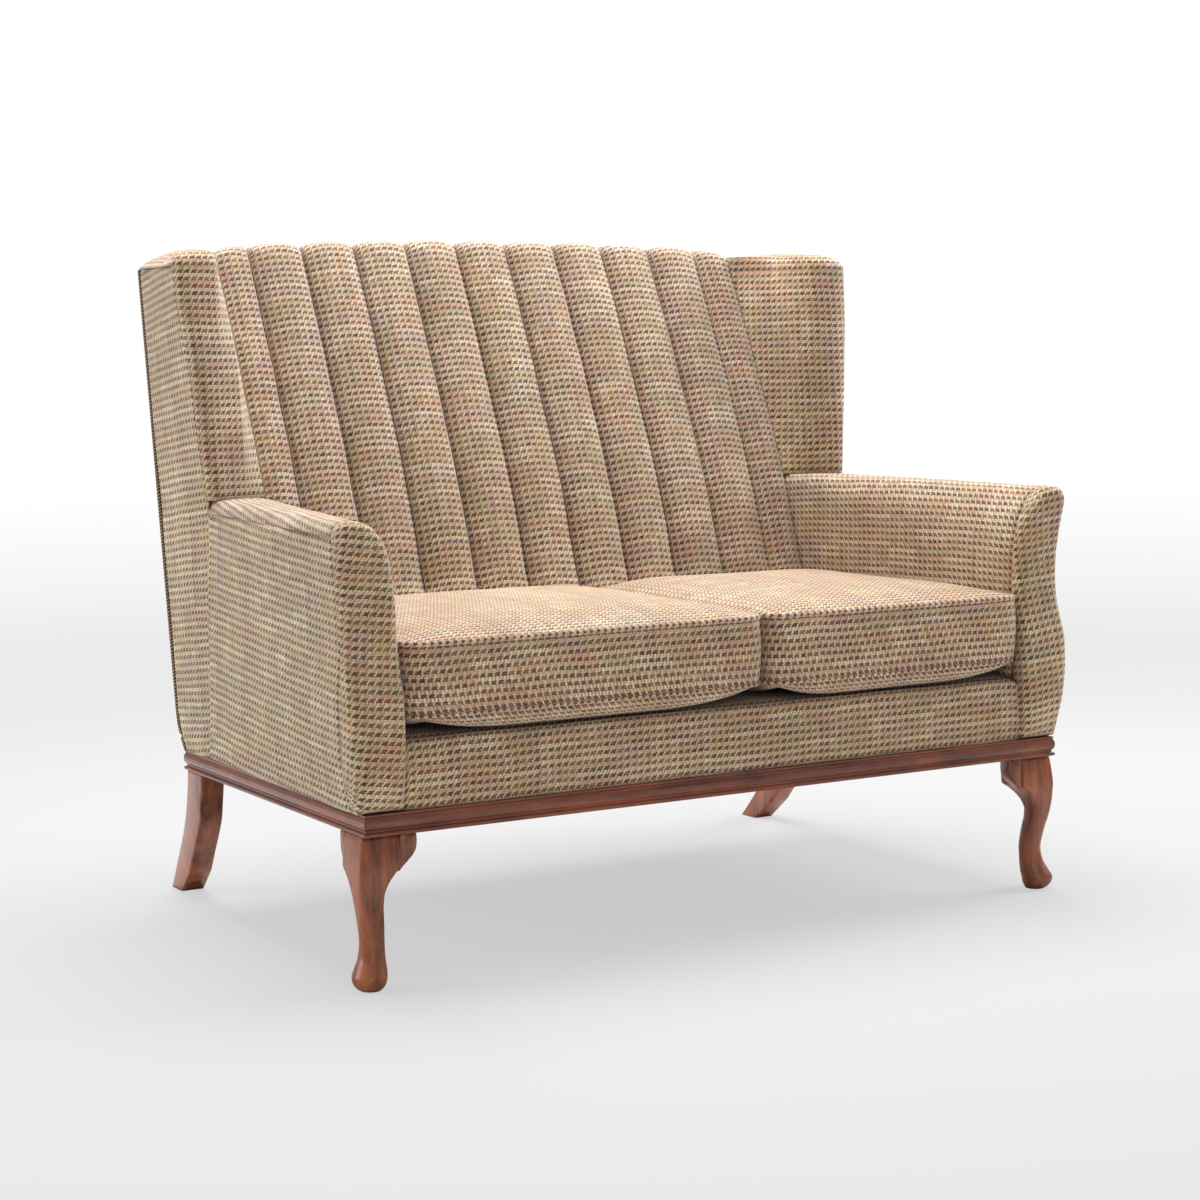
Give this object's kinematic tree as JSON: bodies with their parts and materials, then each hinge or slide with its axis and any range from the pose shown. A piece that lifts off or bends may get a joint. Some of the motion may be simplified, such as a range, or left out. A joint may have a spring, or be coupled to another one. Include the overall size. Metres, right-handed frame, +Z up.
{
  "type": "high back settee",
  "caption": "High back settee with a fluted inside back, wings, padded arms, loose seat cushions, show-wood moulding, cabriole front legs and swept rear legs.",
  "frame": {"origin": "on the floor, under the middle of the bounding box", "axes": "+X to the viewer's right seen from the front, +Y towards the back, +Z up; the front faces -Y"},
  "size_m": [1.265, 0.8281, 1.0519],
  "materials": {
    "tweed": "small checked wool tweed, matt",
    "mahogany": "polished reddish brown",
    "hardwood": "planed, unfinished",
    "steel": "oiled",
    "webbing": "woven strap",
    "lining": "plain woven",
    "piping": "covered cord"
  },
  "bodies": {
    "settee": {"front_seat_rail": "hardwood", "back_seat_rail": "hardwood", "left_seat_rail": "hardwood", "right_seat_rail": "hardwood", "centre_seat_rail": "hardwood", "corner_blocks": "hardwood", "left_back_post": "hardwood", "right_back_post": "hardwood", "centre_back_post": "hardwood", "left_back_stile": "hardwood", "right_back_stile": "hardwood", "top_back_rail": "hardwood", "lower_back_rail": "hardwood", "left_arm_stump": "hardwood", "right_arm_stump": "hardwood", "left_arm_rail": "hardwood", "right_arm_rail": "hardwood", "left_arm_tacking_rail": "hardwood", "right_arm_tacking_rail": "hardwood", "left_wing_post": "hardwood", "right_wing_post": "hardwood", "left_wing_rail": "hardwood", "right_wing_rail": "hardwood", "seat_springs": "steel", "spring_clips": "steel", "seat_platform": "lining", "back_webbing": "webbing", "moulding_front": "mahogany", "moulding_back": "mahogany", "moulding_left": "mahogany", "moulding_right": "mahogany", "front_left_leg": "mahogany", "front_right_leg": "mahogany", "front_left_leg_ears": "mahogany", "front_right_leg_ears": "mahogany", "rear_left_leg": "mahogany", "rear_right_leg": "mahogany", "leg_bolts": "steel", "dust_cover": "lining", "front_border": "tweed", "left_arm_facing": "tweed", "right_arm_facing": "tweed", "left_arm_pad": "tweed", "right_arm_pad": "tweed", "left_wing_pad": "tweed", "right_wing_pad": "tweed", "left_outside_panel": "tweed", "right_outside_panel": "tweed", "fluted_inside_back": "tweed", "outside_back": "tweed", "back_edge_piping": "piping"},
    "left_cushion": {"left_seat_cushion": "tweed"},
    "right_cushion": {"right_seat_cushion": "tweed"}
  },
  "joints": [
    {"name": "left_cushion_lift", "type": "slide", "parent": "settee", "child": "left_cushion", "axis": [0, 0, 1], "range_m": [0, 0.36]},
    {"name": "right_cushion_lift", "type": "slide", "parent": "settee", "child": "right_cushion", "axis": [0, 0, 1], "range_m": [0, 0.36]}
  ]
}
